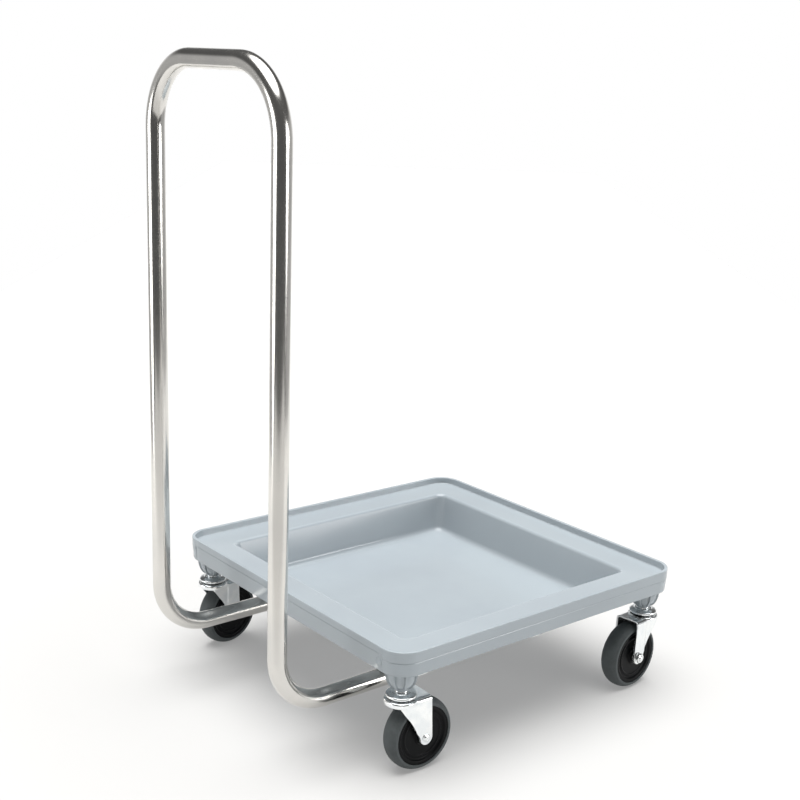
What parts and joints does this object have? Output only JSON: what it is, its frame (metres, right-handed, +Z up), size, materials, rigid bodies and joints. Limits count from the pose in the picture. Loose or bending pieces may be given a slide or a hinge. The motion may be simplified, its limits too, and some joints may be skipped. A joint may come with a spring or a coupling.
{
  "type": "rack dolly with push handle",
  "caption": "Square moulded rack dolly with a raised lip and sunken well, on swivel casters, pushed by a tall bent stainless tube handle bolted under the tray.",
  "frame": {"origin": "on the floor, under the middle of the whole dolly's plan box", "axes": "+Z up; +Y the way it is pushed, so the handle stands at -Y; +X to the right of the person pushing"},
  "size_m": [0.53, 0.6456, 0.908],
  "materials": {
    "tray_plastic": "light blue-grey polypropylene moulding, semi-gloss",
    "stainless_tube": "polished stainless steel tube with fine lengthwise brushing",
    "zinc_plate": "bright zinc-plated pressed steel",
    "race_steel": "plain bright steel",
    "black_plastic": "black moulded plastic",
    "grey_rubber": "dark grey rubber, matt"
  },
  "bodies": {
    "deck": {"tray": "tray_plastic", "handle_tube": "stainless_tube", "tube_plug_left": "black_plastic", "saddle_clip_rear_left": "zinc_plate", "clip_screw_rear_left_1": "zinc_plate", "clip_screw_rear_left_2": "zinc_plate", "saddle_clip_front_left": "zinc_plate", "clip_screw_front_left_1": "zinc_plate", "clip_screw_front_left_2": "zinc_plate", "tube_plug_right": "black_plastic", "saddle_clip_rear_right": "zinc_plate", "clip_screw_rear_right_1": "zinc_plate", "clip_screw_rear_right_2": "zinc_plate", "saddle_clip_front_right": "zinc_plate", "clip_screw_front_right_1": "zinc_plate", "clip_screw_front_right_2": "zinc_plate", "rear_right_stem": "zinc_plate", "rear_right_race_cap": "zinc_plate", "rear_left_stem": "zinc_plate", "rear_left_race_cap": "zinc_plate", "front_right_stem": "zinc_plate", "front_right_race_cap": "zinc_plate", "front_left_stem": "zinc_plate", "front_left_race_cap": "zinc_plate"},
    "rear_right_swivel": {"rear_right_fork": "zinc_plate", "rear_right_ball_ring": "race_steel", "rear_right_axle_bolt": "zinc_plate", "rear_right_axle_nut": "zinc_plate", "rear_right_axle_bush": "race_steel"},
    "rear_right_wheel": {"rear_right_wheel_hub": "black_plastic", "rear_right_tyre": "grey_rubber"},
    "rear_left_swivel": {"rear_left_fork": "zinc_plate", "rear_left_ball_ring": "race_steel", "rear_left_axle_bolt": "zinc_plate", "rear_left_axle_nut": "zinc_plate", "rear_left_axle_bush": "race_steel"},
    "rear_left_wheel": {"rear_left_wheel_hub": "black_plastic", "rear_left_tyre": "grey_rubber"},
    "front_right_swivel": {"front_right_fork": "zinc_plate", "front_right_ball_ring": "race_steel", "front_right_axle_bolt": "zinc_plate", "front_right_axle_nut": "zinc_plate", "front_right_axle_bush": "race_steel"},
    "front_right_wheel": {"front_right_wheel_hub": "black_plastic", "front_right_tyre": "grey_rubber"},
    "front_left_swivel": {"front_left_fork": "zinc_plate", "front_left_ball_ring": "race_steel", "front_left_axle_bolt": "zinc_plate", "front_left_axle_nut": "zinc_plate", "front_left_axle_bush": "race_steel"},
    "front_left_wheel": {"front_left_wheel_hub": "black_plastic", "front_left_tyre": "grey_rubber"}
  },
  "joints": [
    {"name": "rear_right_swivel", "type": "hinge", "parent": "deck", "child": "rear_right_swivel", "pos_m": [0.233, -0.17515, 0.1085], "axis": [0, 0, 1], "continuous": true},
    {"name": "rear_right_spin", "type": "hinge", "parent": "rear_right_swivel", "child": "rear_right_wheel", "pos_m": [0.234, -0.14657, 0.05], "axis": [0.9994, -0.0349, 0], "continuous": true},
    {"name": "rear_left_swivel", "type": "hinge", "parent": "deck", "child": "rear_left_swivel", "pos_m": [-0.233, -0.17515, 0.1085], "axis": [0, 0, 1], "continuous": true},
    {"name": "rear_left_spin", "type": "hinge", "parent": "rear_left_swivel", "child": "rear_left_wheel", "pos_m": [-0.23767, -0.14693, 0.05], "axis": [0.9866, 0.1633, 0], "continuous": true},
    {"name": "front_right_swivel", "type": "hinge", "parent": "deck", "child": "front_right_swivel", "pos_m": [0.233, 0.29085, 0.1085], "axis": [0, 0, 1], "continuous": true},
    {"name": "front_right_spin", "type": "hinge", "parent": "front_right_swivel", "child": "front_right_wheel", "pos_m": [0.2348, 0.26231, 0.05], "axis": [-0.998, -0.0628, 0], "continuous": true},
    {"name": "front_left_swivel", "type": "hinge", "parent": "deck", "child": "front_left_swivel", "pos_m": [-0.233, 0.29085, 0.1085], "axis": [0, 0, 1], "continuous": true},
    {"name": "front_left_spin", "type": "hinge", "parent": "front_left_swivel", "child": "front_left_wheel", "pos_m": [-0.235, 0.26232, 0.05], "axis": [-0.9976, 0.0698, 0], "continuous": true}
  ]
}
